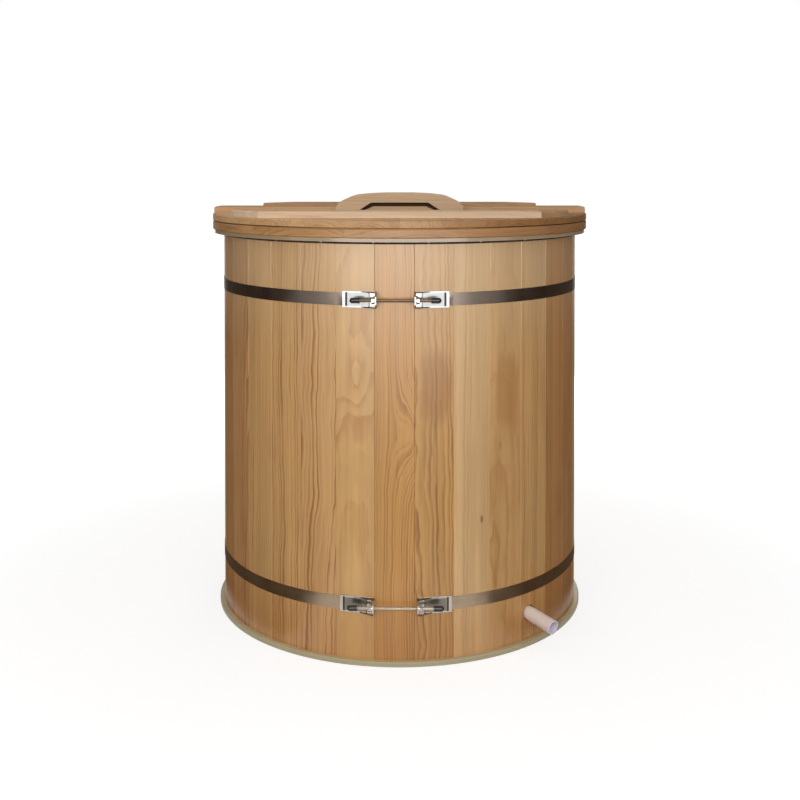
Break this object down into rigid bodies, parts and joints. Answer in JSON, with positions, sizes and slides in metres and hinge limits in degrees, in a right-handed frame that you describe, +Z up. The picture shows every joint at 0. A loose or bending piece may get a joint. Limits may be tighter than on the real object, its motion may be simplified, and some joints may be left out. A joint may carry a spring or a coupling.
{
  "type": "cold plunge tub",
  "caption": "Round wooden barrel tub with two steel clasp hoops, a moulded inner tub and rim, a loose battened lid with an arched grip, and a drain pipe with an inner plug.",
  "frame": {"origin": "middle of the base plate's underside", "axes": "+Z up, -Y is the front with the hoop clasps, +X is the right seen from the front"},
  "size_m": [0.9559, 0.956, 1.0331],
  "materials": {
    "stave_wood": "planed pine, light oil",
    "base_board": "smooth satin",
    "foam": "closed-cell foam",
    "liner_moulding": "gel coat, glossy",
    "rim_wood": "planed and oiled, rounded edges",
    "screw_steel": "bright",
    "hoop_steel": "cold-rolled band",
    "lug_steel": "polished",
    "rod_steel": "threaded",
    "nut_steel": "machined",
    "cap_vinyl": "soft black vinyl",
    "pipe_plastic": "semi-gloss",
    "plug_rubber": "matte",
    "lid_wood": "planed and oiled",
    "batten_wood": "planed and oiled",
    "handle_wood": "planed and oiled"
  },
  "bodies": {
    "tub": {"stave_01": "stave_wood", "stave_02": "stave_wood", "stave_03": "stave_wood", "stave_04": "stave_wood", "stave_05": "stave_wood", "stave_06": "stave_wood", "stave_07": "stave_wood", "stave_08": "stave_wood", "stave_09": "stave_wood", "stave_10": "stave_wood", "stave_11": "stave_wood", "stave_12": "stave_wood", "stave_13": "stave_wood", "stave_14": "stave_wood", "stave_15": "stave_wood", "stave_16": "stave_wood", "stave_17": "stave_wood", "stave_18": "stave_wood", "stave_19": "stave_wood", "stave_20": "stave_wood", "stave_21": "stave_wood", "stave_22": "stave_wood", "stave_23": "stave_wood", "stave_24": "stave_wood", "stave_25": "stave_wood", "stave_26": "stave_wood", "stave_27": "stave_wood", "stave_28": "stave_wood", "stave_29": "stave_wood", "stave_30": "stave_wood", "stave_31": "stave_wood", "stave_32": "stave_wood", "base_plate": "base_board", "floor_foam": "foam", "wall_foam": "foam", "liner": "liner_moulding", "rim": "rim_wood", "rim_screws": "screw_steel", "lower_hoop": "hoop_steel", "upper_hoop": "hoop_steel", "lower_lug_left": "lug_steel", "lower_lug_right": "lug_steel", "upper_lug_left": "lug_steel", "upper_lug_right": "lug_steel", "lower_rod": "rod_steel", "upper_rod": "rod_steel", "rod_washers": "nut_steel", "rod_caps": "cap_vinyl", "drain_pipe": "pipe_plastic"},
    "lid": {"lid_panel": "lid_wood", "front_batten": "batten_wood", "centre_batten": "batten_wood", "rear_batten": "batten_wood", "lid_handle": "handle_wood", "lid_screws": "screw_steel"},
    "drain_plug": {"drain_plug": "plug_rubber"},
    "lower_nut_left": {"lower_nut_left": "nut_steel"},
    "lower_nut_right": {"lower_nut_right": "nut_steel"},
    "upper_nut_left": {"upper_nut_left": "nut_steel"},
    "upper_nut_right": {"upper_nut_right": "nut_steel"}
  },
  "joints": [
    {"name": "lid_lift", "type": "slide", "parent": "tub", "child": "lid", "axis": [0, 0, 1], "range_m": [0, 0.5]},
    {"name": "drain_plug_pull", "type": "slide", "parent": "tub", "child": "drain_plug", "axis": [-0.6553, 0.7407, 0.1478], "range_m": [0, 0.06]},
    {"name": "lower_nut_left_turn", "type": "hinge", "parent": "tub", "child": "lower_nut_left", "pos_m": [-0.00894, -0.46541, 0.132], "axis": [0.9998, -0.0192, 0], "continuous": true},
    {"name": "lower_nut_right_turn", "type": "hinge", "parent": "tub", "child": "lower_nut_right", "pos_m": [-0.00894, -0.46541, 0.132], "axis": [0.9998, -0.0192, 0], "continuous": true},
    {"name": "upper_nut_left_turn", "type": "hinge", "parent": "tub", "child": "upper_nut_left", "pos_m": [-0.00894, -0.46541, 0.807], "axis": [0.9998, -0.0192, 0], "continuous": true},
    {"name": "upper_nut_right_turn", "type": "hinge", "parent": "tub", "child": "upper_nut_right", "pos_m": [-0.00894, -0.46541, 0.807], "axis": [0.9998, -0.0192, 0], "continuous": true}
  ]
}
